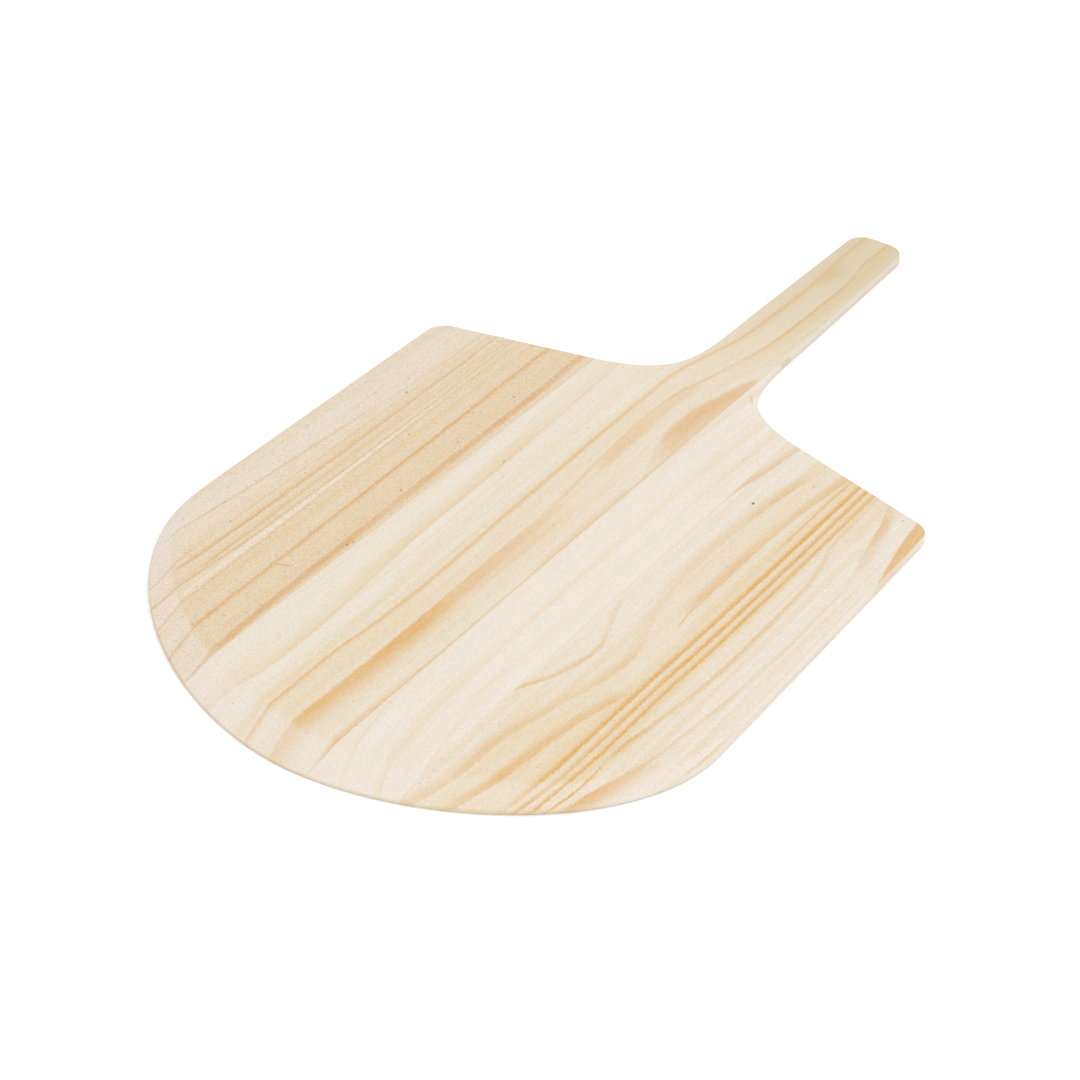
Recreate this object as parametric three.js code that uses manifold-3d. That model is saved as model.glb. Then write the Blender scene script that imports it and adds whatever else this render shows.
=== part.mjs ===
// Wooden pizza peel: one flat pine panel, sawn to a round-nosed blade and a short handle.
//
// The panel is glued up edge to edge from four boards that run the whole length of the blade.
// The second board is the long one: the handle is sawn from it, so the handle has no joint of
// its own. The long edges are rounded over, and the top of the nose is sanded down to a thin
// lip that slides under dough.
//
// Units are millimetres, +Z is up and +Y points from the nose to the end of the handle. The
// origin is the centre of the underside. Nothing on a peel moves.

import * as THREE from 'three';
import { mergeVertices } from 'three/addons/utils/BufferGeometryUtils.js';
import Module from 'manifold-3d';

const wasm = await Module();
wasm.setup();

// ---- Driving dimensions ------------------------------------------------------------------

const bladeWidth = 356;
const totalLength = 620;
const thickness = 7;
const edgeRadius = 1.5;

// The nose is a blunt curve from the tip to the straight sides.
const nose = {
  length: 136,      // from the tip back to where the sides run straight
  tipReach: 79,     // how far the curve keeps the direction of the tip
  sideReach: 72,    // how far it keeps the direction of the side
};

// The taper is the part of the top face that is sanded down towards the nose.
const taper = {
  length: 25,       // from the tip back to where the full thickness starts
  tipReach: 80,
  sideReach: 84,
  sideEnd: 165,     // distance from the tip at which it has run out along the sides
  slope: 0.2,       // drop for each millimetre towards the edge
};

// The shoulders are sawn by eye, so the two back corners differ a little.
const shoulderSlope = 0.25;
const rightShoulder = { corner: 356, cornerRadius: 11 };
const leftShoulder = { corner: 362, cornerRadius: 15 };

// The neck is the hollow curve between a shoulder and the handle.
const neck = {
  startX: 79,       // distance from the centre line where the shoulder starts to curve
  endY: 500,        // distance from the tip where the handle's side runs straight
  shoulderReach: 66,
  handleReach: 72,
};

const handle = {
  neckHalfWidth: 21.5,
  endHalfWidth: 19,
  cornerRadius: 12,
  crownRadius: 120, // the end is slightly bowed
};

// The glue lines between the boards, as distances from the centre line.
const glueLines = [
  { name: 'glue_line_left', x: -73 },
  { name: 'glue_line_middle', x: 22 },
  { name: 'glue_line_right', x: 70 },
];
// A quarter of a millimetre is a binary fraction, so boards and glue meet in exact planes.
const glueThickness = 0.25;

const boards = [
  { name: 'left_edge_board', color: '#e2cba6' },
  { name: 'handle_board', color: '#e8d6b8' },
  { name: 'inner_right_board', color: '#f1e8d6' },
  { name: 'right_edge_board', color: '#ecdcbf' },
];

// ---- Outline -----------------------------------------------------------------------------

const curveSteps = 22;
const cornerSteps = 6;
const margin = 20;          // how far the cutting blocks reach past the panel
const samePoint = 1e-4;     // corners closer than this are one corner

const halfWidth = bladeWidth / 2;

function bezier(start, startControl, endControl, end) {
  return new THREE.CubicBezierCurve(start, startControl, endControl, end).getPoints(curveSteps);
}

function arc(center, radius, startAngle, endAngle) {
  const curve = new THREE.EllipseCurve(
    center.x, center.y, radius, radius, startAngle, endAngle, endAngle < startAngle);
  return curve.getPoints(cornerSteps);
}

// One side of the nose, from the middle of the tip to the straight side.
function nosePoints(tipY, tipReach, sideReach, sideY) {
  return bezier(
    new THREE.Vector2(0, tipY),
    new THREE.Vector2(tipReach, tipY),
    new THREE.Vector2(halfWidth, sideY - sideReach),
    new THREE.Vector2(halfWidth, sideY));
}

// The back corner, where the side turns into the sloping shoulder.
function cornerPoints({ corner, cornerRadius }) {
  const shoulderAngle = Math.atan(shoulderSlope);
  const inset = cornerRadius / Math.cos(shoulderAngle) - shoulderSlope * cornerRadius;
  const center = new THREE.Vector2(halfWidth - cornerRadius, corner - inset);
  return arc(center, cornerRadius, 0, Math.PI / 2 - shoulderAngle);
}

// The hollow curve from the shoulder into the side of the handle.
function neckPoints({ corner }) {
  const shoulder = new THREE.Vector2(-1, shoulderSlope).normalize();
  const start = new THREE.Vector2(neck.startX, corner + shoulderSlope * (halfWidth - neck.startX));
  const end = new THREE.Vector2(handle.neckHalfWidth, neck.endY);
  const startControl = start.clone().addScaledVector(shoulder, neck.shoulderReach);
  const endControl = end.clone().addScaledVector(handleDirection(), -neck.handleReach);
  return bezier(start, startControl, endControl, end);
}

function handleDirection() {
  return new THREE.Vector2(
    handle.endHalfWidth - handle.neckHalfWidth, totalLength - neck.endY).normalize();
}

// Half of the handle's end: the rounded corner, then the bowed end up to the centre line.
function handleEndPoints() {
  const { cornerRadius, crownRadius } = handle;
  const direction = handleDirection();
  const outward = new THREE.Vector2(direction.y, -direction.x);
  const crownCenter = new THREE.Vector2(0, totalLength - crownRadius);

  // The corner's centre keeps one radius from the side and touches the crown from inside.
  const onSide = new THREE.Vector2(handle.neckHalfWidth, neck.endY)
    .addScaledVector(outward, -cornerRadius);
  const fromCrown = onSide.clone().sub(crownCenter);
  const reach = crownRadius - cornerRadius;
  const run = fromCrown.dot(direction);
  const step = -run + Math.sqrt(run ** 2 - fromCrown.lengthSq() + reach ** 2);
  const center = onSide.addScaledVector(direction, step);

  const sideAngle = Math.atan2(outward.y, outward.x);
  const crownAngle = center.clone().sub(crownCenter).angle();
  return [
    ...arc(center, cornerRadius, sideAngle, crownAngle),
    ...arc(crownCenter, crownRadius, crownAngle, Math.PI / 2).slice(1),
  ];
}

// Half of the outline, from the tip round to the middle of the handle's end.
function halfOutline(shoulder) {
  return [
    ...nosePoints(0, nose.tipReach, nose.sideReach, nose.length),
    ...cornerPoints(shoulder),
    ...neckPoints(shoulder),
    ...handleEndPoints(),
  ];
}

// Joins a right half and a mirrored left half, with the part's origin half way along it.
function closedShape(rightHalf, leftHalf) {
  const mirrored = leftHalf.slice(1, -1).reverse().map((p) => new THREE.Vector2(-p.x, p.y));
  const points = [...rightHalf, ...mirrored];
  return new THREE.Shape(points.map((p) => new THREE.Vector2(p.x, p.y - totalLength / 2)));
}

// ---- Solids ------------------------------------------------------------------------------

function toSolid(geometry) {
  geometry.deleteAttribute('normal');
  geometry.deleteAttribute('uv');
  const merged = mergeVertices(geometry, samePoint);
  return new wasm.Manifold(new wasm.Mesh({
    numProp: 3,
    vertProperties: Float32Array.from(merged.attributes.position.array),
    triVerts: Uint32Array.from(merged.index.array),
  }));
}

function toGeometry(solid) {
  const mesh = solid.getMesh();
  const geometry = new THREE.BufferGeometry();
  geometry.setAttribute('position', new THREE.BufferAttribute(mesh.vertProperties, 3));
  geometry.setIndex(new THREE.BufferAttribute(mesh.triVerts, 1));
  geometry.computeVertexNormals();
  return geometry;
}

// The sawn panel with its edges rounded over, at full thickness everywhere.
function roundedPanel() {
  const outline = closedShape(halfOutline(rightShoulder), halfOutline(leftShoulder));
  const geometry = new THREE.ExtrudeGeometry(outline, {
    depth: thickness - 2 * edgeRadius,
    bevelThickness: edgeRadius,
    bevelSize: edgeRadius,
    bevelOffset: -edgeRadius,
    bevelSegments: 3,
  });
  geometry.translate(0, 0, edgeRadius);
  return toSolid(geometry);
}

// Everything under the tapered nose: full height inside the taper's start, and falling at the
// taper's slope outside it.
function underTaper() {
  const start = nosePoints(taper.length, taper.tipReach, taper.sideReach, taper.sideEnd);
  const back = totalLength + margin;
  const half = [...start, new THREE.Vector2(halfWidth, back), new THREE.Vector2(0, back)];
  const drop = thickness + 1;
  const geometry = new THREE.ExtrudeGeometry(closedShape(half, half), {
    depth: thickness,
    bevelThickness: drop,
    bevelSize: drop / taper.slope,
    bevelSegments: 1,
  });
  geometry.translate(0, 0, -drop);
  return toSolid(geometry);
}

// A block that holds everything between two distances from the centre line.
function slice(fromX, toX) {
  const reachY = totalLength / 2 + margin;
  const shape = new THREE.Shape([
    new THREE.Vector2(fromX, -reachY),
    new THREE.Vector2(toX, -reachY),
    new THREE.Vector2(toX, reachY),
    new THREE.Vector2(fromX, reachY),
  ]);
  const geometry = new THREE.ExtrudeGeometry(shape, {
    depth: thickness + 2 * margin,
    bevelEnabled: false,
  });
  geometry.translate(0, 0, -margin);
  return toSolid(geometry);
}

// ---- Assembly ----------------------------------------------------------------------------

const panel = roundedPanel().intersect(underTaper());
const peel = new THREE.Group();

function addPiece(name, fromX, toX, material) {
  const mesh = new THREE.Mesh(toGeometry(panel.intersect(slice(fromX, toX))), material);
  mesh.name = name;
  peel.add(mesh);
}

const outside = halfWidth + margin;
const boardEdges = [-outside];
for (const line of glueLines) {
  boardEdges.push(line.x - glueThickness / 2, line.x + glueThickness / 2);
}
boardEdges.push(outside);

boards.forEach((board, index) => {
  const pine = new THREE.MeshStandardMaterial({ color: board.color, roughness: 0.75, metalness: 0 });
  addPiece(board.name, boardEdges[2 * index], boardEdges[2 * index + 1], pine);
});

const glue = new THREE.MeshStandardMaterial({ color: '#c9a878', roughness: 0.5, metalness: 0 });
for (const line of glueLines) {
  addPiece(line.name, line.x - glueThickness / 2, line.x + glueThickness / 2, glue);
}

export default peel;
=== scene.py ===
"""Looks of the wooden pizza peel: four pine boards and the three glue lines between them.

The panel is built once as a skin with rounded edges and a sanded nose, and then cut into boards
and glue lines at the planes of the CAD nodes. Each board has its own procedural pine.

Lengths are in millimetres until a mesh or a light is made. In the outline and in the grain,
"along" is the distance from the tip of the nose and "across" the distance from the middle.
"""

import math
from dataclasses import dataclass, field

import bmesh
import bpy
from mathutils import Matrix, Vector


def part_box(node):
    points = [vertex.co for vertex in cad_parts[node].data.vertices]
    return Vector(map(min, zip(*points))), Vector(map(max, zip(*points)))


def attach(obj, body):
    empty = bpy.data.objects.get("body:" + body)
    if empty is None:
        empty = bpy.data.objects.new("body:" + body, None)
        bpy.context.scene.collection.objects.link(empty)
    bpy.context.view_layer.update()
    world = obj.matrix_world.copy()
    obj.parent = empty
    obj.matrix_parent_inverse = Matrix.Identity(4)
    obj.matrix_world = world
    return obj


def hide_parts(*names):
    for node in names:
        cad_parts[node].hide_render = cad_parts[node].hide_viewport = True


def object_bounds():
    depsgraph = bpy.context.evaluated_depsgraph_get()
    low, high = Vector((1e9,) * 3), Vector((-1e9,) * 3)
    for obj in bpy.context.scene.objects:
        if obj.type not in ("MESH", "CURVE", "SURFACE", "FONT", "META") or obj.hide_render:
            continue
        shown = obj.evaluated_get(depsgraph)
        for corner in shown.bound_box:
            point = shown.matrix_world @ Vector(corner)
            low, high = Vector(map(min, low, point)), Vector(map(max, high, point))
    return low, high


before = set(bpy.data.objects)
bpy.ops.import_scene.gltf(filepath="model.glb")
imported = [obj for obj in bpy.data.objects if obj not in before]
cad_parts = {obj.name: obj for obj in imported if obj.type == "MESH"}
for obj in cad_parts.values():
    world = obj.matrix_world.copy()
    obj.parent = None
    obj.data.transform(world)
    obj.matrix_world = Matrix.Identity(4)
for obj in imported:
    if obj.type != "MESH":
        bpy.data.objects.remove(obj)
cad_low, cad_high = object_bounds()

MM = 0.001

# ---- Sizes ---------------------------------------------------------------------------------

WIDTH = (cad_high.x - cad_low.x) / MM
LENGTH = (cad_high.y - cad_low.y) / MM
THICKNESS = (cad_high.z - cad_low.z) / MM
HALF_WIDTH = WIDTH / 2
HALF_LENGTH = LENGTH / 2

EDGE_RADIUS = 1.5
THIN_EDGE_SHARE = 0.42    # an edge radius is at most this share of the edge's height
EDGE_STEPS = 6

NOSE_LENGTH = 136
NOSE_TIP_REACH = 79
NOSE_SIDE_REACH = 72
NOSE_STEPS = 90

TAPER_LENGTH = 25
TAPER_TIP_REACH = 80
TAPER_SIDE_REACH = 84
TAPER_SIDE_END = 165
TAPER_SLOPE = 0.2
TAPER_SIDE_STEPS = 12
CREASE_HALF_WIDTH = 1.6   # the taper starts with a soft crease, not a hard line
CREASE_FADE = 60          # the crease narrows to nothing over this length of the side

SHOULDER_SLOPE = 0.25
RIGHT_CORNER, RIGHT_CORNER_RADIUS = 356, 11
LEFT_CORNER, LEFT_CORNER_RADIUS = 362, 15
CORNER_STEPS = 16

NECK_START = 79
NECK_END = 500
NECK_SHOULDER_REACH = 66
NECK_HANDLE_REACH = 72
NECK_STEPS = 60

HANDLE_NECK_HALF_WIDTH = 21.5
HANDLE_END_HALF_WIDTH = 19
HANDLE_CORNER_RADIUS = 12
HANDLE_CROWN_RADIUS = 120

GLUE_RECESS = 0.05        # dried glue shrinks a little below the sanded wood

SHARP_ANGLE = 35          # faces that meet at less than this many degrees look smooth
ON_PLANE = 1e-7           # a corner this near a cutting plane, in metres, lies on it


# ---- Camera --------------------------------------------------------------------------------

CAMERA_AZIMUTH = 35.6
CAMERA_ELEVATION = 37.94
CAMERA_ROLL = 0.54
CAMERA_DISTANCE = 1256.7
CAMERA_TARGET = Vector((1.9, -84.7, 0))
CAMERA_LENS = 74.51
CAMERA_SENSOR = 36


def make_camera():
    """A camera that looks down on the peel from the front right."""
    azimuth, elevation = math.radians(CAMERA_AZIMUTH), math.radians(CAMERA_ELEVATION)
    back = Vector((
        math.sin(azimuth) * math.cos(elevation),
        -math.cos(azimuth) * math.cos(elevation),
        math.sin(elevation),
    ))
    data = bpy.data.cameras.new("camera")
    data.sensor_width = CAMERA_SENSOR
    data.lens = CAMERA_LENS
    data.clip_start = 0.05
    camera = bpy.data.objects.new("camera", data)
    bpy.context.scene.collection.objects.link(camera)
    turn = back.to_track_quat("Z", "Y").to_matrix().to_4x4()
    roll = Matrix.Rotation(math.radians(CAMERA_ROLL), 4, "Z")
    place = Matrix.Translation((CAMERA_TARGET + back * CAMERA_DISTANCE) * MM)
    camera.matrix_world = place @ turn @ roll
    bpy.context.scene.camera = camera


make_camera()


# ---- Outline -------------------------------------------------------------------------------

def bezier(start, start_control, end_control, end, steps):
    """Points of a cubic curve, both ends included."""
    points = []
    for step in range(steps + 1):
        t = step / steps
        s = 1 - t
        points.append(
            start * s**3 + start_control * (3 * s * s * t)
            + end_control * (3 * s * t * t) + end * t**3
        )
    return points


def arc(centre, radius, start_angle, end_angle, steps):
    """Points of a circular arc, both ends included."""
    points = []
    for step in range(steps + 1):
        angle = start_angle + (end_angle - start_angle) * step / steps
        points.append(centre + radius * Vector((math.cos(angle), math.sin(angle))))
    return points


def nose_curve(tip, tip_reach, side_reach, side_end, steps):
    """Right half of a nose-shaped curve, from the middle to where it meets the straight side."""
    return bezier(
        Vector((0, tip)),
        Vector((tip_reach, tip)),
        Vector((HALF_WIDTH, side_end - side_reach)),
        Vector((HALF_WIDTH, side_end)),
        steps,
    )


def side_points():
    """The stretch of straight side along which the taper runs out."""
    points = []
    for step in range(1, TAPER_SIDE_STEPS + 1):
        share = step / TAPER_SIDE_STEPS
        points.append(Vector((HALF_WIDTH, NOSE_LENGTH + (TAPER_SIDE_END - NOSE_LENGTH) * share)))
    return points


def corner_points(corner, radius):
    """The rounded back corner of the blade."""
    slope_angle = math.atan(SHOULDER_SLOPE)
    inset = radius / math.cos(slope_angle) - SHOULDER_SLOPE * radius
    centre = Vector((HALF_WIDTH - radius, corner - inset))
    return arc(centre, radius, 0, math.pi / 2 - slope_angle, CORNER_STEPS)


def handle_direction():
    """Direction of the handle's right side, away from the blade."""
    run = Vector((HANDLE_END_HALF_WIDTH - HANDLE_NECK_HALF_WIDTH, LENGTH - NECK_END))
    return run.normalized()


def neck_points(corner):
    """The hollow curve from the shoulder into the side of the handle."""
    shoulder = Vector((-1, SHOULDER_SLOPE)).normalized()
    start = Vector((NECK_START, corner + SHOULDER_SLOPE * (HALF_WIDTH - NECK_START)))
    end = Vector((HANDLE_NECK_HALF_WIDTH, NECK_END))
    return bezier(
        start,
        start + shoulder * NECK_SHOULDER_REACH,
        end - handle_direction() * NECK_HANDLE_REACH,
        end,
        NECK_STEPS,
    )


def handle_end_points():
    """The rounded corner of the handle and half of its bowed end."""
    direction = handle_direction()
    outward = Vector((direction.y, -direction.x))
    crown_centre = Vector((0, LENGTH - HANDLE_CROWN_RADIUS))

    # The corner's centre keeps one radius from the side and touches the crown from inside.
    beside = Vector((HANDLE_NECK_HALF_WIDTH, NECK_END)) - outward * HANDLE_CORNER_RADIUS
    offset = beside - crown_centre
    reach = HANDLE_CROWN_RADIUS - HANDLE_CORNER_RADIUS
    run = offset.dot(direction)
    centre = beside + direction * (math.sqrt(run**2 - offset.length_squared + reach**2) - run)

    side_angle = math.atan2(outward.y, outward.x)
    to_centre = centre - crown_centre
    crown_angle = math.atan2(to_centre.y, to_centre.x)
    corner = arc(centre, HANDLE_CORNER_RADIUS, side_angle, crown_angle, CORNER_STEPS)
    crown = arc(crown_centre, HANDLE_CROWN_RADIUS, crown_angle, math.pi / 2, CORNER_STEPS)
    return corner + crown[1:]


def half_outline(corner, corner_radius):
    """Right half of the outline, from the tip to the middle of the handle's end."""
    return (
        nose_curve(0, NOSE_TIP_REACH, NOSE_SIDE_REACH, NOSE_LENGTH, NOSE_STEPS)
        + side_points()
        + corner_points(corner, corner_radius)
        + neck_points(corner)
        + handle_end_points()
    )


def panel_outline():
    """The whole outline, anticlockwise from the tip."""
    right = half_outline(RIGHT_CORNER, RIGHT_CORNER_RADIUS)
    left = half_outline(LEFT_CORNER, LEFT_CORNER_RADIUS)
    return right + [Vector((-p.x, p.y)) for p in reversed(left[1:-1])]


# ---- Sanded nose ---------------------------------------------------------------------------

taper_start = nose_curve(
    TAPER_LENGTH, TAPER_TIP_REACH, TAPER_SIDE_REACH, TAPER_SIDE_END, NOSE_STEPS)


def beyond_taper_start(point):
    """How far a point lies outside the line where the taper starts, and the way out from it."""
    mirrored = Vector((abs(point.x), point.y))
    if mirrored.y > TAPER_SIDE_END:
        return -HALF_WIDTH, Vector((math.copysign(1, point.x), 0))
    nearest = None
    for start, end in zip(taper_start, taper_start[1:]):
        run = end - start
        share = max(0, min(1, (mirrored - start).dot(run) / run.length_squared))
        gap = mirrored - (start + run * share)
        if nearest is None or gap.length < nearest[0].length:
            nearest = (gap, run.normalized())
    gap, run = nearest
    outward = Vector((run.y, -run.x))
    distance = gap.dot(outward)
    return distance, Vector((math.copysign(outward.x, point.x), outward.y))


def taper_drop(distance, along):
    """How far the top face has been sanded down, and its slope there."""
    crease = CREASE_HALF_WIDTH * max(0, min(1, (TAPER_SIDE_END - along) / CREASE_FADE))
    if distance <= -crease:
        return 0, 0
    if distance >= crease:
        return TAPER_SLOPE * distance, TAPER_SLOPE
    into = distance + crease
    return TAPER_SLOPE * into**2 / (4 * crease), TAPER_SLOPE * into / (2 * crease)


# ---- Skin of the panel ---------------------------------------------------------------------

# Rings of the top face, in crease half widths inside the line where the taper starts.
CREASE_RINGS = (-1, -0.5, 0, 0.5, 1, 2)
RING_GAP = 0.5            # rings stay this far apart where there is no taper


def skin_rib(point, outward):
    """Points of the skin in one upright plane: underside, round the edge and onto the top."""
    distance, way_out = beyond_taper_start(point)
    drop, slope = taper_drop(distance, point.y)
    height = THICKNESS - drop
    radius = min(EDGE_RADIUS, THIN_EDGE_SHARE * height)
    slope = min(slope * max(0, outward.dot(way_out)), drop / radius)
    rib = []

    def add(inset, level):
        place = point - outward * inset
        rib.append(Vector((place.x, place.y, level)))

    for step in range(EDGE_STEPS + 1):
        angle = math.pi / 2 * step / EDGE_STEPS
        add(radius * (1 - math.sin(angle)), radius * (1 - math.cos(angle)))

    lean = math.atan(slope)
    centre_level = height + slope * radius - radius / math.cos(lean)
    for step in range(EDGE_STEPS + 1):
        angle = math.pi + (lean - math.pi / 2) * step / EDGE_STEPS
        add(radius * (1 + math.cos(angle)), centre_level + radius * math.sin(angle))

    rim = rib[-1].to_2d()
    rim_distance, way_out = beyond_taper_start(rim)
    if rim_distance < 0:
        way_out = outward
    for number, ring in enumerate(CREASE_RINGS, 1):
        inset = max(rim_distance + ring * CREASE_HALF_WIDTH, RING_GAP * number)
        place = rim - way_out * inset
        drop, _ = taper_drop(rim_distance - inset, place.y)
        rib.append(Vector((place.x, place.y, THICKNESS - drop)))
    return rib


def panel_skin():
    """The whole panel as one closed skin, in metres and in the frame's place."""
    outline = panel_outline()
    ribs = []
    for index, point in enumerate(outline):
        run = outline[(index + 1) % len(outline)] - outline[index - 1]
        outward = Vector((run.y, -run.x)).normalized()
        ribs.append(skin_rib(point, outward))

    skin = bmesh.new()
    rows = []
    for rib in ribs:
        rows.append([skin.verts.new(Vector((p.x, p.y - HALF_LENGTH, p.z)) * MM) for p in rib])
    for index, row in enumerate(rows):
        previous = rows[index - 1]
        for level in range(len(row) - 1):
            skin.faces.new((previous[level], row[level], row[level + 1], previous[level + 1]))
    skin.faces.new([row[-1] for row in rows])
    skin.faces.new([row[0] for row in reversed(rows)])
    return skin


def cut_slice(skin, low, high):
    """A copy of the skin between two planes across the panel, closed where it is cut."""
    part = skin.copy()
    for across, side in ((low, -1), (high, 1)):
        bmesh.ops.bisect_plane(
            part,
            geom=part.verts[:] + part.edges[:] + part.faces[:],
            dist=ON_PLANE,
            plane_co=(across, 0, 0),
            plane_no=(side, 0, 0),
            clear_outer=True,
        )
        rim = [edge for edge in part.edges if edge.is_boundary]
        if rim:
            bmesh.ops.contextual_create(part, geom=rim)
    bmesh.ops.recalc_face_normals(part, faces=part.faces[:])
    return part


def make_piece(name, node, material, recess=0.0):
    """Cuts one piece out of the panel where its CAD node is, and puts it in the node's place."""
    low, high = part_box(node)
    part = cut_slice(panel, low.x, high.x)
    for vertex in part.verts:
        if vertex.co.z > THICKNESS * MM / 2:
            vertex.co.z -= recess * MM
    mesh = bpy.data.meshes.new(name)
    part.to_mesh(mesh)
    part.free()
    mesh.shade_smooth()
    mesh.set_sharp_from_angle(angle=math.radians(SHARP_ANGLE))
    mesh.materials.append(material)
    piece = bpy.data.objects.new(name, mesh)
    bpy.context.scene.collection.objects.link(piece)
    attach(piece, "root")
    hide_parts(node)


panel = panel_skin()


# ---- Shader helpers ------------------------------------------------------------------------

STUDIO_GAIN = 1.28        # how much brighter than its own colour a level face looks in the studio


def seen(code):
    """The linear colour of a face that looks #rrggbb in the studio."""
    values = []
    for index in (1, 3, 5):
        value = int(code[index:index + 2], 16) / 255
        bright = value / 12.92 if value <= 0.04045 else ((value + 0.055) / 1.055) ** 2.4
        values.append(bright / STUDIO_GAIN)
    return (*values, 1)


class Nodes:
    """Adds shader nodes to a material. Each call gives back the new node's output."""

    def __init__(self, material):
        self.tree = material.node_tree

    def add(self, kind, inputs, output=0, **settings):
        node = self.tree.nodes.new(kind)
        for name, value in settings.items():
            setattr(node, name, value)
        for name, value in inputs.items():
            self.feed(node.inputs[name], value)
        return node.outputs[output]

    def feed(self, socket, value):
        if isinstance(value, bpy.types.NodeSocket):
            self.tree.links.new(value, socket)
        else:
            socket.default_value = value

    def math(self, operation, *values, clamp=False):
        inputs = dict(enumerate(values))
        return self.add("ShaderNodeMath", inputs, operation=operation, use_clamp=clamp)

    def vector(self, x, y, z):
        return self.add("ShaderNodeCombineXYZ", {"X": x, "Y": y, "Z": z})

    def ramp(self, value, low, high, at_low=0.0, at_high=1.0, shape="SMOOTHSTEP"):
        """at_low where value is low, at_high where it is high, and smooth in between."""
        inputs = {
            "Value": value, "From Min": low, "From Max": high,
            "To Min": at_low, "To Max": at_high,
        }
        return self.add("ShaderNodeMapRange", inputs, interpolation_type=shape)

    def noise(self, vector, scale, detail=2.0, roughness=0.5):
        inputs = {"Vector": vector, "Scale": scale, "Detail": detail, "Roughness": roughness}
        return self.add("ShaderNodeTexNoise", inputs, output="Fac")

    def curve(self, value, points, extend="HORIZONTAL"):
        """A smooth curve through points, read at value."""
        output = self.add("ShaderNodeFloatCurve", {"Value": value})
        mapping = output.node.mapping
        mapping.use_clip = False
        mapping.extend = extend
        line = mapping.curves[0]
        ordered = sorted(points)
        line.points[0].location = ordered[0]
        line.points[1].location = ordered[-1]
        for point in ordered[1:-1]:
            line.points.new(*point)
        for point in line.points:
            point.handle_type = "AUTO_CLAMPED"
        mapping.update()
        return output

    def mix(self, share, first, second):
        """first where share is 0 and second where it is 1, for colours."""
        node = self.tree.nodes.new("ShaderNodeMix")
        node.data_type = "RGBA"
        self.feed(node.inputs[0], share)
        self.feed(node.inputs[6], first)
        self.feed(node.inputs[7], second)
        return node.outputs[2]


# ---- Pine ----------------------------------------------------------------------------------

TONES = {
    "pale": seen("#f2ebe0"),
    "grey": seen("#e0d1bc"),
    "tan": seen("#e8cea0"),
    "red": seen("#e0b276"),
}
SANDED = seen("#f0e8e0")
HANDLED = seen("#d5c39e")
CANAL = seen("#b48a5c")
PITH = seen("#7d5133")
LATE_WOOD_TONES = ("tan", "red", "brown")

SEED_STEP = 100           # how far apart neighbouring seeds are in the noise

# How far the colours wander across the grain: in slow waves, and where fibres are torn.
WAVE = 0.9
TEAR = 3.4

# Once this much wood is sanded away, the top starts to turn paler, and then is fully paler.
SANDING_STARTS = 0.05
SANDING_SHOWS = 0.8

# The most of each colour that is mixed in.
FIBRE_TINT = 0.3
SANDED_TINT = 0.55
DARK_SPECKS = 0.45
LIGHT_SPECKS = 0.7
# Painted light: how far side faces are mixed towards pale, so that they look as brightly lit as the
# top.
PAINTED_SIDE_LIGHT = 0.55
END_GRAIN_TINT = 0.35

SANDED_STREAK_LOSS = 0.15  # a streak is this much weaker where the nose is sanded down
LATE_WOOD_POLISH = 0.12    # late wood is this much less rough than the rest
KNOT_CORE = 0.4            # the share of a knot's radius that is fully dark
KNOT_SQUASH = 0.8          # a knot's width, as a share of its length

# What could be felt on the sanded face. RELIEF is in metres, and the others are shares of it.
RELIEF = 0.0002
FUZZ_HEIGHT = 0.9
THREAD_HEIGHT = 0.5
LATE_WOOD_HEIGHT = 0.25
HOLE_DEPTH = 0.6


@dataclass
class Streak:
    """A streak of darker or paler wood along a board; a few broad pale ones are painted highlights.

    path holds (along, across, strength) from the tip backwards. One side is sharp, over edge,
    and the other fades over width: to the right where width is positive, else to the left.
    The core is the share of the width that keeps the full strength.
    """

    tone: str
    width: float
    path: list
    edge: float = 0.6
    core: float = 0.2


@dataclass
class Knot:
    """A pin knot or a resin spot, a little longer than it is wide."""

    along: float
    across: float
    radius: float = 0.8
    strength: float = 0.8


@dataclass
class Board:
    """How one board of the panel looks."""

    node: str
    slot: str
    light: str                # colour of its palest wood
    warm: str                 # colour of its darkest plain wood
    late: str                 # colour of the late wood in its brown streaks
    shade: list               # (across, share of the warm colour)
    lean: float               # how far the rings move across for each millimetre of depth
    flow: list                # (along, across) of one line of its fibres
    grain: float = 1.0        # how strongly fine lines and speckle show
    pores: float = 0.5        # how strongly the resin canals show
    seed: float = 0.0         # sets the board's random pattern apart from the others
    handled: list = field(default_factory=list)  # (along, share of the colour that hands leave)
    streaks: list = field(default_factory=list)
    knots: list = field(default_factory=list)


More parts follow.
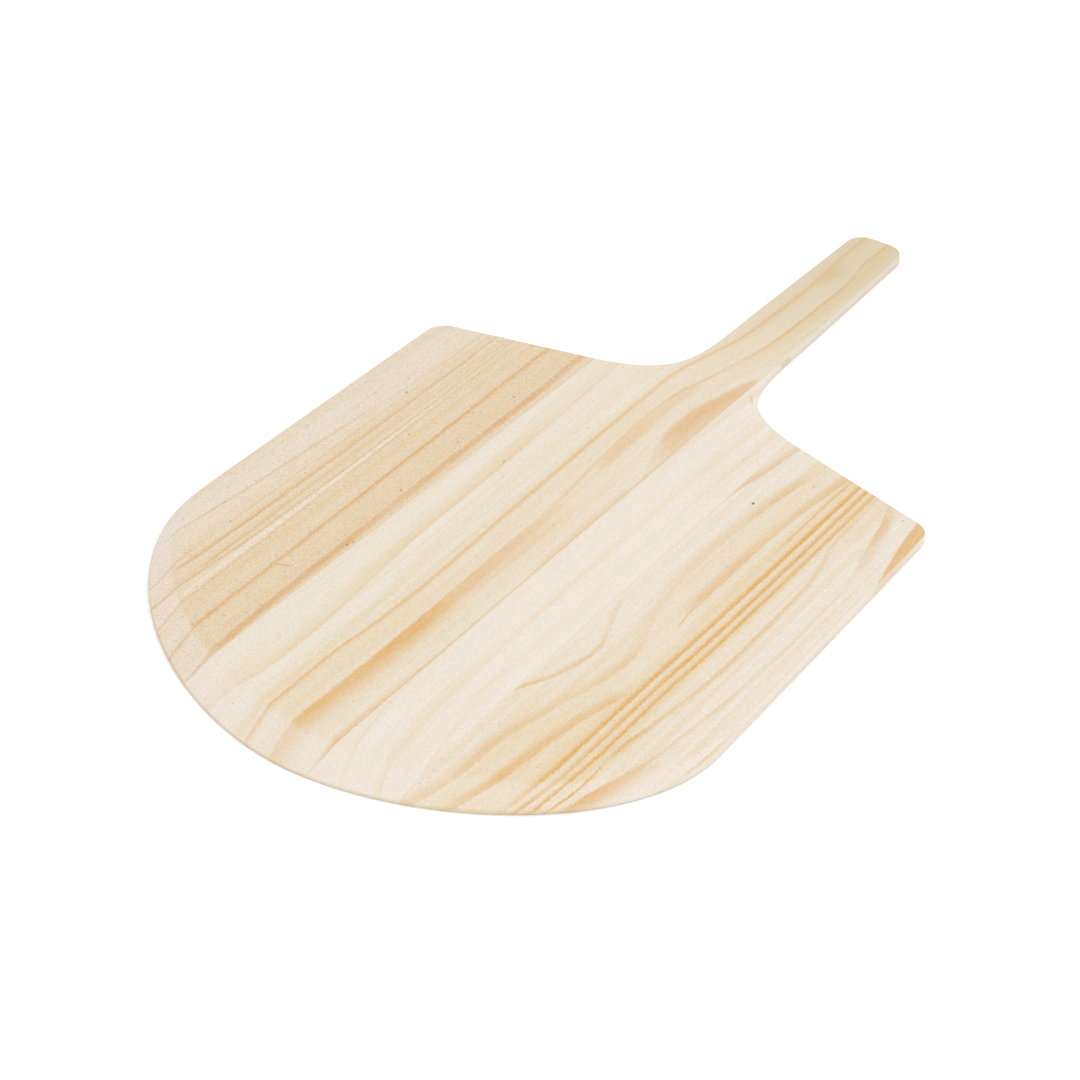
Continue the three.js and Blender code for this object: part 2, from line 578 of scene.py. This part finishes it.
LEFT_EDGE = Board(
    node="left_edge_board",
    slot="pine_left_edge",
    light="#ece4d7",
    warm="#e7d2b0",
    late="#d8a04e",
    shade=[
        (-178, 0.3), (-172, 0.15), (-165, 0.05), (-158, 0.15), (-150, 0.25), (-140, 0.4),
        (-132, 0.6), (-118, 0.85), (-105, 0.95), (-97, 1), (-83, 0.95), (-75, 0.9)],
    lean=0.9,
    flow=[(50, 4), (110, 3.5), (180, 2.5), (280, 1), (380, 0)],
    grain=1.25,
    pores=1.1,
    seed=11.0,
    streaks=[
        Streak("grey", -12, [(240, -165, 0), (290, -166, 0.35), (360, -167, 0.6)], edge=4),
        Streak("brown", 2.4, [
            (85, -163.6, 0), (110, -161.2, 0.5), (150, -157.2, 0.6), (190, -155, 0.6),
            (230, -152.4, 0.5), (270, -150, 0.2), (300, -147, 0.2), (330, -146, 0.4),
            (370, -147, 0.3)]),
        Streak("brown", 1.8, [
            (55, -144.2, 0.7), (70, -142, 0.8), (90, -142.6, 0.4), (110, -143.1, 0.3),
            (150, -143, 0.45), (190, -142.8, 0.3), (230, -142.5, 0.6), (270, -142.8, 0.5),
            (330, -142.6, 0.25), (370, -142, 0.2)]),
        Streak("tan", -10, [
            (60, -136, 0.1), (80, -136, 0.3), (95, -135.5, 0.7), (190, -134, 0.7),
            (300, -135, 0.5), (345, -135.5, 0.2)]),
        Streak("tan", 9, [
            (70, -134.5, 0.3), (100, -133.5, 0.6), (160, -133, 0.5), (240, -133, 0)]),
        Streak("brown", -3.6, [
            (60, -137.6, 0), (75, -136.9, 0.15), (85, -136.2, 0.7), (110, -134.8, 0.7),
            (150, -134.2, 0.8), (190, -134, 0.65), (230, -134.1, 0.6), (270, -134.4, 0.5),
            (330, -135.2, 0.6), (372, -136, 0.5)]),
        Streak("brown", 2.6, [
            (80, -129.4, 0.1), (100, -129, 0.5), (120, -128.8, 0.55), (150, -128.8, 0.4),
            (190, -129.4, 0.25), (230, -129.4, 0.2), (300, -129.2, 0.15), (365, -129.5, 0.15)]),
        Streak("brown", -2.0, [
            (44, -131, 1.1), (50, -129.6, 1.1), (60, -127.4, 1), (70, -126, 0.8),
            (90, -124.9, 0.8), (110, -123.6, 0.75), (150, -122.8, 0.7), (190, -122.5, 0.75),
            (230, -122.9, 0.6), (270, -123.1, 0.55), (330, -124.2, 0.6), (374, -125, 0.6)]),
        Streak("pale", 4.6, [
            (60, -120.5, 0.4), (80, -121, 0.6), (150, -121.6, 0.8), (190, -121.9, 0.75),
            (230, -122.2, 0.65), (270, -122.6, 0.4), (310, -123, 0)]),
        Streak("brown", 2.4, [
            (36, -117, 0.7), (50, -116.9, 0.65), (70, -116.3, 0.55), (110, -117.5, 0.4),
            (150, -118, 0.35), (190, -119.2, 0.25), (230, -119.8, 0.45), (270, -120.6, 0.3),
            (300, -121, 0.1)]),
        Streak("tan", 9, [
            (60, -113.5, 0.3), (150, -113, 0.6), (270, -114.4, 0.5), (330, -115, 0.2)]),
        Streak("brown", 3.8, [
            (24, -97.4, 0.5), (40, -97.4, 0.6), (50, -98, 0.65), (60, -98.1, 0.85),
            (70, -98.5, 0.8), (110, -99, 0.7), (150, -99.8, 0.75), (190, -100.7, 0.85),
            (230, -101.4, 0.9), (270, -102, 0.9), (330, -103.4, 0.75), (378, -104, 0.85)]),
        Streak("tan", 9, [(50, -98, 0.2), (200, -100.5, 0.4), (370, -103, 0.3)], edge=1),
        Streak("brown", 5.6, [
            (18, -77.6, 0.5), (40, -77.2, 0.6), (70, -79, 0.8), (110, -79.8, 0.75),
            (150, -80.4, 0.85), (190, -80.8, 0.55), (230, -81.4, 0.75), (270, -81.5, 0.7),
            (330, -81.8, 0.8), (350, -82.4, 0.6), (382, -83.6, 0.7)], edge=0.8, core=0.5),
        Streak("brown", 5, [(113, -101, 0), (114.5, -99, 0.9), (117.5, -92, 0.8), (119, -90, 0)]),
    ],
    knots=[
        Knot(288, -144, 1.0, 0.7), Knot(323, -88.5, 1.1, 0.45), Knot(265, -86.5, 1.1, 0.3),
        Knot(254, -115, 0.7, 0.6), Knot(208, -84, 1.1, 0.45), Knot(155, -75.5, 0.8, 0.5),
        Knot(151, -76.5, 1.0, 0.5), Knot(140, -157.5, 0.6, 0.5), Knot(128.5, -143, 0.7, 0.6),
        Knot(294, -101, 0.7, 0.4), Knot(297, -77, 0.7, 0.4), Knot(356, -81.5, 0.8, 0.4),
        Knot(351.5, -81.5, 0.8, 0.4), Knot(333, -81, 0.7, 0.4),
    ],
)

HANDLE = Board(
    node="handle_board",
    slot="pine_handle",
    light="#eee9dc",
    warm="#ebdcc5",
    late="#e0a842",
    shade=[
        (-73, 0.1), (-66, 0), (-45, 0.1), (-34, 0.05), (-28, 0.25), (-20, 0.65), (-8, 0.7),
        (0, 0.55), (8, 0.45), (22, 0.4)],
    lean=0.9,
    flow=[
        (30, 1.5), (70, 1.5), (130, 5), (200, 3.5), (300, 1.5), (390, -0.5), (425, 5),
        (455, 11.5), (510, 15), (545, 16), (580, 14)],
    pores=0.5,
    seed=23.0,
    handled=[(400, 0), (440, 0.12), (480, 0.25), (520, 0.35), (560, 0.5), (600, 0.55), (620, 0.55)],
    streaks=[
        Streak("tan", -12, [
            (15, -52, 0.3), (40, -45, 0.4), (70, -41.7, 0.5), (110, -43.7, 0.4),
            (150, -47.5, 0.5), (190, -49.8, 0.55), (230, -51, 0.5), (270, -52, 0.75),
            (330, -54.3, 0.25), (370, -55.5, 0.2), (390, -57, 0.2)], edge=1, core=0.3),
        Streak("brown", -3, [
            (10, -53, 0.2), (40, -44, 0.25), (60, -42.5, 0.25), (120, -44.6, 0.25),
            (180, -49.6, 0.25), (240, -51.2, 0.4), (270, -51.9, 0.35), (320, -54, 0.2),
            (385, -57, 0.25)]),
        Streak("tan", -8, [
            (40, -26, 0.5), (70, -25.7, 0.5), (110, -27.6, 0.35), (150, -31.2, 0.4),
            (190, -33.6, 0.3), (230, -35.4, 0.3), (270, -36.3, 0.35), (330, -37, 0.2),
            (370, -39, 0.2), (395, -40, 0.2)], edge=0.8, core=0.4),
        Streak("tan", 13, [
            (24, -22, 0), (32, -22, 0.3), (60, -22, 0.4), (120, -19, 0.5), (160, -19, 0.15),
            (190, -19, 0)], edge=1.5, core=0.4),
        Streak("tan", -3.5, [
            (70, -25, 0.2), (240, -24, 0.4), (330, -25.5, 0.5), (390, -26, 0.3)]),
        Streak("brown", 4, [
            (0, -24, 0.6), (30, -24.6, 0.8), (70, -24.8, 0.85), (110, -22, 0.8), (150, -21, 0.75),
            (190, -22.2, 0.7), (230, -23.4, 0.75), (270, -24.2, 0.75), (330, -25.3, 0.8),
            (370, -25.8, 0.65), (390, -26, 0.65), (412, -24.2, 0.6), (425, -21.4, 0.6),
            (440, -18, 0.6), (455, -14.6, 0.65), (470, -12.6, 0.65), (510, -11, 0.7),
            (545, -10.2, 0.7), (580, -12, 0.65), (615, -12, 0.8)]),
        Streak("tan", 9, [
            (460, -14, 0), (490, -11.4, 0.35), (545, -10.2, 0.5), (580, -12, 0.6),
            (615, -12, 0.6)]),
        Streak("brown", 3.6, [
            (235, -6.3, 0), (250, -6.8, 0.35), (270, -8, 0.45), (285, -9.7, 0.45),
            (315, -11.8, 0.45), (350, -13.5, 0.5), (370, -13, 0.5), (390, -10.8, 0.8),
            (400, -8.4, 0.65), (412, -5.4, 0.5), (440, 0.4, 0.4), (465, 4.8, 0.6),
            (480, 6.1, 0.8), (520, 7.4, 0.8), (550, 8.2, 0.75), (565, 7.3, 0.6), (590, 4.2, 0.9),
            (615, 4.8, 1)]),
        Streak("brown", 9, [(570, 6, 0), (590, 4.4, 0.2), (615, 5, 0.4)]),
        Streak("brown", 11, [
            (285, -9, 0), (305, -11, 0.45), (330, -12, 0.5), (360, -13, 0.35), (390, -11, 0.3),
            (405, -7, 0)], core=0.5),
        Streak("brown", 17, [
            (0, -7, 0.45), (20, -6.8, 0.5), (26, -6.6, 0.8), (40, -6.3, 0.85), (70, -5.5, 0.85),
            (100, -5.3, 1), (120, -5.2, 1.05), (150, -5.4, 0.7), (190, -5.8, 0.6), (230, -6, 0.4),
            (260, -6.5, 0)], edge=0.9),
        Streak("brown", 9, [
            (140, -2, 0), (165, 0, 0.4), (200, 1, 0.45), (240, 1.5, 0.25),
            (260, 2, 0)], edge=3, core=0.5),
        Streak("tan", 11, [
            (410, -2, 0), (450, 3, 0.5), (480, 6, 0.7), (540, 8, 0.9),
            (615, 5, 0.8)], edge=1, core=0.4),
        Streak("brown", -2.8, [
            (15, 22.7, 0.9), (40, 22.7, 1), (80, 22.7, 1), (110, 22.7, 0.85), (150, 22.7, 0.7),
            (230, 22.7, 0.75), (260, 22.7, 0.7), (290, 22.7, 0.6), (335, 22.7, 0.2),
            (350, 22.7, 0)], edge=0.2),
        Streak("brown", -7, [
            (5, 23, 0.9), (20, 23, 0.9), (32, 23, 0.65), (60, 23, 0.6), (100, 23, 0.2),
            (180, 23, 0), (210, 23, 0.5), (270, 23, 0.5), (300, 23, 0)]),
        Streak("red", 28, [
            (298, 21, 0.1), (318, 14, 0.3), (335, 9.3, 0.6), (350, 6, 0.85), (375, 6.1, 0.9),
            (390, 9, 0.9), (410, 13.8, 0.85), (424, 18, 0.7), (430, 20, 0)], edge=2.2),
        Streak("brown", 7, [
            (345, 10, 0), (370, 10.5, 0.3), (385, 11.5, 0.35), (400, 14, 0.25),
            (415, 18, 0)], edge=3),
        Streak("brown", 14, [
            (541, -11, 0), (552, -10.5, 0.45), (562, -10, 0.75), (572, -10.5, 0.45),
            (583, -11, 0)], edge=4, core=0.4),
    ],
    knots=[Knot(266, -53.5, 0.8), Knot(254, -45, 0.9, 0.3)],
)

INNER_RIGHT = Board(
    node="inner_right_board",
    slot="pine_inner_right",
    light="#f1ece3",
    warm="#ece2d1",
    late="#e0a842",
    shade=[
        (22, 0.5), (27, 0.5), (31, 0.15), (38, 0.05), (43, 0.45), (48, 0.3), (54, 0.15), (58, 0.5),
        (62, 0.5), (66, 0.25), (70, 0.3)],
    lean=0.9,
    flow=[(20, 12), (45, 7), (70, 3), (120, 1.5), (190, 0), (260, 1), (340, 2), (395, 4)],
    grain=0.9,
    pores=0.3,
    seed=37.0,
    streaks=[
        Streak("tan", -6, [
            (12, 56, 0.5), (45, 51, 0.4), (70, 48, 0.3), (110, 46.7, 0.3), (170, 45.3, 0.35),
            (230, 45.4, 0.35), (290, 46.4, 0.3), (350, 48.4, 0.45), (395, 50, 0.4)]),
        Streak("tan", 5, [
            (15, 74, 0.4), (50, 65, 0.3), (80, 59, 0.3), (110, 56.3, 0.35), (170, 57, 0.2),
            (230, 55.4, 0.2), (290, 56.2, 0.25), (350, 57.6, 0.4), (385, 59, 0.4)]),
        Streak("tan", 4, [
            (0, 35, 0.35), (28, 30, 0.4), (50, 25.5, 0.3), (80, 22, 0.3), (240, 21, 0.3),
            (350, 23, 0.2), (400, 26, 0.3)]),
        # Painted highlight: a broad pale patch across the middle of the board, a sheen of light
        # rather than paler wood.
        Streak("pale", 52, [
            (95, 21, 0), (140, 21, 0.6), (200, 21, 0.65), (270, 21, 0.65),
            (325, 21, 0.1)], core=0.9),
        Streak("brown", 1.7, [
            (402.8, 31.4, 0), (403.8, 30.7, 1), (409.6, 26.9, 1), (410.6, 26.2, 0)]),
    ],
    knots=[Knot(350, 58, 0.7, 0.3), Knot(359, 38, 0.7, 0.2)],
)

RIGHT_EDGE = Board(
    node="right_edge_board",
    slot="pine_right_edge",
    light="#eee9df",
    warm="#ead8b9",
    late="#e0a842",
    shade=[
        (70, 0.25), (80, 0.15), (90, 0.35), (98, 0.45), (113, 0.5), (120, 0.95), (128, 0.95),
        (134, 0.85), (142, 0.45), (150, 0.35), (160, 0.2), (166, 0.1), (172, 0.2), (178, 0.3)],
    lean=-1.0,
    flow=[(50, -3), (120, -1.5), (200, 0), (300, 1), (360, 2)],
    pores=0.5,
    seed=53.0,
    streaks=[
        Streak("red", -7, [
            (312, 70.5, 0.3), (335, 73.8, 0.8), (350, 76.2, 0.7), (378, 79.5, 0.5)]),
        Streak("brown", -5, [
            (106, 69.6, 0.5), (110, 71, 0.75), (118, 75, 0.65), (130, 81, 0.6), (150, 86.3, 0.65),
            (160, 87.5, 0.55), (172, 84.6, 0.35), (190, 78.4, 0.25), (205, 74, 0.1),
            (215, 72, 0)]),
        Streak("tan", -45, [
            (15, 112, 0.3), (30, 116, 0.45), (45, 118, 0.35), (90, 119, 0.4), (130, 119, 0.1),
            (150, 119, 0)], core=0.8),
        # Painted highlight: the same sheen of light as on the inner board, carried on over this
        # board's inner side.
        Streak("pale", 16, [
            (140, 71, 0), (175, 71, 0.2), (270, 71, 0.25), (305, 71, 0)], core=0.5),
        Streak("brown", -9, [
            (12, 81, 0.5), (35, 85.5, 0.4), (50, 87, 0.55), (70, 87.4, 0.6), (110, 95.3, 0.35),
            (135, 102, 0.4), (150, 104.8, 0.5), (160, 106, 0.45), (172, 105, 0.3),
            (190, 99.6, 0.15), (215, 93, 0.2), (230, 91.5, 0.3), (260, 90.8, 0.4),
            (310, 93.2, 0.5), (330, 95.5, 0.65), (345, 97.7, 0.6), (362, 100, 0.2)]),
        Streak("brown", -8, [
            (20, 99, 0.5), (35, 101, 0.6), (50, 104.3, 0.8), (70, 106.3, 0.7), (110, 112, 0.6),
            (132, 117, 0.6), (146, 119.5, 0), (208, 110, 0.05), (230, 109.6, 0.65),
            (270, 110, 0.65), (310, 111.6, 0.5), (350, 115.8, 0.6), (366, 117.5, 0.6)], core=0.3),
        Streak("brown", 1.4, [
            (199, 109.9, 0), (203, 109.5, 0.9), (212, 108.5, 0.9), (221, 107.8, 0.6),
            (225, 107.6, 0)], edge=0.3),
        Streak("brown", -1.9, [
            (280, 119, 0), (300, 119.3, 0.8), (350, 119.8, 0.9), (366, 120.3, 0.9)], edge=0.4),
        Streak("tan", -19, [(60, 135, 0.2), (150, 137, 0.35), (280, 139, 0.35), (366, 139, 0.3)]),
        Streak("brown", -4.4, [
            (50, 120.8, 0.5), (60, 121.2, 1), (70, 121.9, 1.1), (110, 122.8, 1.2),
            (150, 123.4, 1.15), (190, 124.4, 1.05), (230, 125.3, 1.1), (270, 126, 1.2),
            (310, 126.6, 1.3), (366, 127.4, 1.1)]),
        Streak("brown", -3.8, [
            (40, 125.4, 1), (50, 126.4, 1.1), (60, 127.2, 0.7), (70, 127.8, 0.7), (110, 128.6, 1),
            (150, 128.9, 1.1), (190, 130.5, 1.2), (230, 131.4, 1.2), (270, 132, 1.2),
            (310, 132.4, 1.15), (366, 132.6, 1.1)]),
        Streak("brown", -3.3, [
            (43, 131.8, 1.3), (55, 132, 1.3), (70, 132.6, 1.1), (110, 133.9, 1.1),
            (150, 134.2, 1.1), (190, 135.6, 1.1), (230, 136.4, 1.2), (270, 137.1, 0.9),
            (310, 137.6, 0.95), (363, 137.7, 0.85)]),
        Streak("brown", 2, [
            (50, 136, 1.4), (70, 138, 1.4), (90, 137.6, 0.8), (110, 137, 0)], edge=0.4),
        Streak("brown", 4.2, [
            (88, 136, 0), (100, 137, 0.8), (112, 138, 1), (130, 140.8, 0.6), (150, 143.5, 0.55),
            (190, 146.7, 0.65), (230, 147.3, 0.65), (270, 146.6, 0.55), (292, 143.8, 0.4),
            (310, 139.9, 0.45), (350, 139.2, 0.25)]),
        Streak("red", 9, [
            (62, 142.8, 0.95), (72, 144.8, 0.9), (90, 150, 0.5), (110, 154.8, 0.2), (140, 158, 0),
            (285, 163.5, 0), (310, 159.2, 0.45), (330, 155.4, 0.7), (345, 152.5, 0.85),
            (352, 150.8, 0.6), (358, 149, 0.5)]),
        Streak("tan", 16, [(310, 139.5, 0), (330, 139, 0.3), (366, 138, 0.3)], core=0.7),
        Streak("tan", 9, [
            (50, 137, 0.7), (62, 138, 0.6), (75, 138.6, 0.25), (90, 138.6, 0.1),
            (104, 138.6, 0.4), (125, 141, 0)], core=0.5),
        Streak("pale", -22, [(145, 119, 0), (165, 119, 0.25), (190, 119, 0.25), (215, 119, 0)]),
        Streak("brown", 16, [
            (56, 142.5, 0.75), (72, 145, 0.65), (85, 148, 0.5), (110, 155, 0)], core=0.3),
        Streak("brown", 3, [
            (95, 151.8, 0), (110, 155.2, 0.45), (130, 157.2, 0.4), (165, 161.4, 0.45),
            (190, 163, 0.25), (240, 165, 0.3), (275, 165, 0.25), (300, 161, 0)]),
        Streak("brown", 3, [
            (288, 180, 0), (298, 178, 0.7), (310, 175, 0.8), (330, 171.8, 0.85),
            (350, 169.5, 0.95), (358, 168.7, 0.95)]),
        Streak("brown", 10, [
            (288, 180, 0), (298, 177.5, 0.8), (318, 174, 0.95), (335, 171, 0.95),
            (358, 169, 0.85)], core=0.7),
        Streak("brown", 4, [(100, 173.5, 0.6), (125, 176, 0.6), (150, 177.5, 0.3)]),
    ],
    knots=[
        Knot(352, 104.5, 1.0, 0.35), Knot(317.5, 85, 1.2, 0.9), Knot(354, 161.5, 0.8, 0.4),
        Knot(377, 84.5, 0.8, 0.4),
    ],
)

BOARDS = (LEFT_EDGE, HANDLE, INNER_RIGHT, RIGHT_EDGE)


def pine(board):
    """Sanded pine whose rings, fibres, resin canals and pin knots run on through the board."""
    material = bpy.data.materials.new(f"pine_{board.node}")
    material.use_nodes = True
    nodes = Nodes(material)

    # Place in the board, in millimetres: across and along its face, and depth below it.
    spot = nodes.add("ShaderNodeTexCoord", {}, output="Object")
    parts = nodes.add("ShaderNodeSeparateXYZ", {"Vector": spot}).node.outputs
    x, y, z = (nodes.math("DIVIDE", part, MM) for part in parts)
    along = nodes.math("ADD", y, HALF_LENGTH)
    depth = nodes.math("SUBTRACT", THICKNESS, z)
    seed_shift = SEED_STEP * board.seed
    seeded_x = nodes.math("ADD", x, seed_shift)

    def speckle(squeeze, scale, detail=2.0, roughness=0.5):
        run = nodes.math("MULTIPLY", along, squeeze)
        return nodes.noise(nodes.vector(seeded_x, run, z), scale, detail, roughness)

    # Torn fibres make every edge of colour ragged; below, "across" includes that.
    slow = speckle(squeeze=0.25, scale=0.12)
    torn = speckle(squeeze=0.6, scale=0.9, detail=3.0, roughness=0.7)
    torn_shift = nodes.math("MULTIPLY_ADD", torn, TEAR, -(WAVE + TEAR) / 2)
    wander = nodes.math("MULTIPLY_ADD", slow, WAVE, torn_shift)
    level = nodes.math("MULTIPLY_ADD", depth, -board.lean, x)
    across = nodes.math("ADD", level, wander)

    # Fibres: fine lines that follow the board's flow.
    flow = nodes.curve(along, board.flow, "EXTRAPOLATED")
    fibre_x = nodes.math("ADD", nodes.math("SUBTRACT", across, flow), seed_shift)

    def fibres(scale, stretch, detail):
        run = nodes.math("DIVIDE", along, stretch)
        return nodes.noise(nodes.vector(fibre_x, run, nodes.math("DIVIDE", z, 3)), scale, detail)

    rings = nodes.ramp(fibres(scale=0.24, stretch=160, detail=2.0), 0.25, 0.75, -0.35, 0.35)
    lines = nodes.ramp(fibres(scale=0.8, stretch=60, detail=3.0), 0.35, 0.75)
    threads = fibres(scale=3.2, stretch=30, detail=2.0)
    canals = nodes.ramp(fibres(scale=1.7, stretch=2.6, detail=1.0), 0.68, 0.76)
    canals = nodes.math("MULTIPLY", canals, board.pores)
    fuzz = speckle(squeeze=0.7, scale=1.5, detail=3.0, roughness=0.7)

    share = nodes.math("ADD", nodes.curve(across, board.shade), rings, clamp=True)
    colour = nodes.mix(share, seen(board.light), seen(board.warm))
    line_share = nodes.math("MULTIPLY", lines, FIBRE_TINT * board.grain)
    colour = nodes.mix(line_share, colour, TONES["tan"])

    # The top is mixed towards a paler colour where the nose is sanded down.
    facing = nodes.add("ShaderNodeTexCoord", {}, output="Normal")
    normal = nodes.add("ShaderNodeSeparateXYZ", {"Vector": facing}).node.outputs
    upward = nodes.ramp(normal["Z"], 0.6, 0.9)
    sanded = nodes.math("MULTIPLY", nodes.ramp(depth, SANDING_STARTS, SANDING_SHOWS), upward)
    colour = nodes.mix(nodes.math("MULTIPLY", sanded, SANDED_TINT), colour, SANDED)

    # Streaks, which stray fibres break up a little.
    late_wood = 0.0
    tones = {**TONES, "brown": seen(board.late)}
    breaks = nodes.ramp(nodes.math("ADD", threads, fuzz), 0.75, 1.2, 1.0, 0.6)
    kept = nodes.math("MULTIPLY_ADD", sanded, -SANDED_STREAK_LOSS, 1.0)
    breaks = nodes.math("MULTIPLY", breaks, kept)
    for tone, tint in tones.items():
        streaks = [streak for streak in board.streaks if streak.tone == tone]
        if not streaks:
            continue
        mask = 0.0
        for streak in streaks:
            mask = nodes.math("MAXIMUM", mask, streak_mask(nodes, streak, along, across))
        broken = nodes.math("MULTIPLY", mask, breaks)
        colour = nodes.mix(broken, colour, tint)
        if tone in LATE_WOOD_TONES:
            late_wood = nodes.math("MAXIMUM", late_wood, broken)

    # Speckle, the tint that hands leave, resin canals and pin knots.
    dark_specks = nodes.ramp(fuzz, 0.48, 0.75, 0.0, DARK_SPECKS * board.grain, "LINEAR")
    light_specks = nodes.ramp(fuzz, 0.48, 0.25, 0.0, LIGHT_SPECKS * board.grain, "LINEAR")
    colour = nodes.mix(dark_specks, colour, tones["brown"])
    colour = nodes.mix(light_specks, colour, tones["pale"])
    if board.handled:
        colour = nodes.mix(nodes.curve(along, board.handled), colour, HANDLED)
    colour = nodes.mix(canals, colour, CANAL)
    pins = 0.0
    for knot in board.knots:
        pins = nodes.math("MAXIMUM", pins, knot_mask(nodes, knot, along, x))
    colour = nodes.mix(pins, colour, PITH)

    # Side faces along the grain get painted light: they are mixed towards pale so that they look as
    # brightly lit as the top. End grain is darker.
    edge = nodes.ramp(nodes.math("ABSOLUTE", normal["Z"]), 0.8, 0.3)
    end_grain = nodes.ramp(nodes.math("ABSOLUTE", normal["Y"]), 0.45, 0.95)
    painted_side_share = nodes.math("MULTIPLY_ADD", end_grain, -PAINTED_SIDE_LIGHT, PAINTED_SIDE_LIGHT)
    colour = nodes.mix(nodes.math("MULTIPLY", edge, painted_side_share), colour, tones["pale"])
    colour = nodes.mix(nodes.math("MULTIPLY", end_grain, END_GRAIN_TINT), colour, tones["tan"])

    # Sanding leaves the soft wood rougher and a little lower than the hard late wood.
    height = nodes.math("MULTIPLY", threads, THREAD_HEIGHT)
    height = nodes.math("MULTIPLY_ADD", fuzz, FUZZ_HEIGHT, height)
    height = nodes.math("MULTIPLY_ADD", late_wood, LATE_WOOD_HEIGHT, height)
    height = nodes.math("MULTIPLY_ADD", nodes.math("MAXIMUM", canals, pins), -HOLE_DEPTH, height)
    bump = nodes.add("ShaderNodeBump", {"Height": height, "Strength": 0.55, "Distance": RELIEF})
    roughness = nodes.ramp(fuzz, 0.3, 0.7, 0.66, 0.8)
    roughness = nodes.math("MULTIPLY_ADD", late_wood, -LATE_WOOD_POLISH, roughness)

    shader = material.node_tree.nodes["Principled BSDF"]
    nodes.feed(shader.inputs["Base Color"], colour)
    nodes.feed(shader.inputs["Roughness"], roughness)
    nodes.feed(shader.inputs["Normal"], bump)
    shader.inputs["Specular IOR Level"].default_value = 0.3
    return material


def streak_mask(nodes, streak, along, across):
    """How much of a streak shows at a place."""
    sharp_line = nodes.curve(along, [(a, c) for a, c, _ in streak.path], "EXTRAPOLATED")
    strength = nodes.curve(along, [(a, s) for a, _, s in streak.path])
    way = math.copysign(1, streak.width)
    inside = nodes.math("MULTIPLY", nodes.math("SUBTRACT", across, sharp_line), way)
    width = abs(streak.width)
    sharp_side = nodes.ramp(inside, -streak.edge, streak.edge)
    soft_side = nodes.ramp(inside, streak.core * width, width, 1.0, 0.0)
    return nodes.math("MULTIPLY", nodes.math("MULTIPLY", sharp_side, soft_side), strength)


def knot_mask(nodes, knot, along, x):
    """How dark a pin knot makes a place."""
    offset_x = nodes.math("SUBTRACT", x, knot.across)
    offset_y = nodes.math("MULTIPLY", nodes.math("SUBTRACT", along, knot.along), KNOT_SQUASH)
    length = nodes.math("SQRT", nodes.math(
        "ADD", nodes.math("POWER", offset_x, 2.0), nodes.math("POWER", offset_y, 2.0)))
    return nodes.ramp(length, KNOT_CORE * knot.radius, knot.radius, knot.strength, 0.0)


def wood_glue():
    """Dried wood glue: yellowish and slightly glossy, with sawdust sanded into it."""
    material = bpy.data.materials.new("wood_glue")
    material.use_nodes = True
    nodes = Nodes(material)
    spot = nodes.add("ShaderNodeTexCoord", {}, output="Object")
    dust = nodes.noise(spot, scale=900.0, detail=3.0)
    colour = nodes.mix(nodes.ramp(dust, 0.35, 0.65), seen("#dcc6a2"), seen("#eadfca"))
    bump = nodes.add("ShaderNodeBump", {"Height": dust, "Strength": 0.3, "Distance": 0.0001})
    shader = material.node_tree.nodes["Principled BSDF"]
    nodes.feed(shader.inputs["Base Color"], colour)
    nodes.feed(shader.inputs["Roughness"], nodes.ramp(dust, 0.3, 0.7, 0.4, 0.6))
    nodes.feed(shader.inputs["Normal"], bump)
    return material


for board in BOARDS:
    make_piece(f"pine_{board.node}", board.node, pine(board))

glue = wood_glue()
for side in ("left", "middle", "right"):
    make_piece(f"dried_glue_{side}", f"glue_line_{side}", glue, GLUE_RECESS)

panel.free()


# ---- Studio --------------------------------------------------------------------------------

def make_floor():
    """A plain pale sheet that the peel lies on. Its reach and the gap above it are in metres."""
    reach = 30.0
    gap = 0.0002
    mesh = bpy.data.meshes.new("floor")
    corners = [(-reach, -reach), (reach, -reach), (reach, reach), (-reach, reach)]
    mesh.from_pydata([(x, y, cad_low.z - gap) for x, y in corners], [], [(0, 1, 2, 3)])
    material = bpy.data.materials.new("floor")
    material.use_nodes = True
    shader = material.node_tree.nodes["Principled BSDF"]
    shader.inputs["Base Color"].default_value = (0.93, 0.93, 0.93, 1)
    shader.inputs["Roughness"].default_value = 0.9
    mesh.materials.append(material)
    floor = bpy.data.objects.new("floor", mesh)
    bpy.context.scene.collection.objects.link(floor)


def make_light(name, place, size, power):
    """A soft square light at a place in metres, aimed at the middle of the blade."""
    data = bpy.data.lights.new(name, "AREA")
    data.shape = "SQUARE"
    data.size = size
    data.energy = power
    light = bpy.data.objects.new(name, data)
    light.location = place
    light.rotation_euler = (Vector(place) - CAMERA_TARGET * MM).to_track_quat("Z", "Y").to_euler()
    bpy.context.scene.collection.objects.link(light)


def make_studio():
    """Even white light from all round, with a soft light overhead and one at the front right."""
    make_floor()
    make_light("overhead", place=(0.0, 0.3, 2.2), size=2.5, power=12.5)
    make_light("side", place=(1.7, -0.9, 1.3), size=1.4, power=11.5)
    world = bpy.data.worlds.new("studio")
    world.use_nodes = True
    background = world.node_tree.nodes["Background"]
    background.inputs["Color"].default_value = (1, 1, 1, 1)
    background.inputs["Strength"].default_value = 1.0
    bpy.context.scene.world = world
    bpy.context.scene.view_settings.view_transform = "Standard"


make_studio()
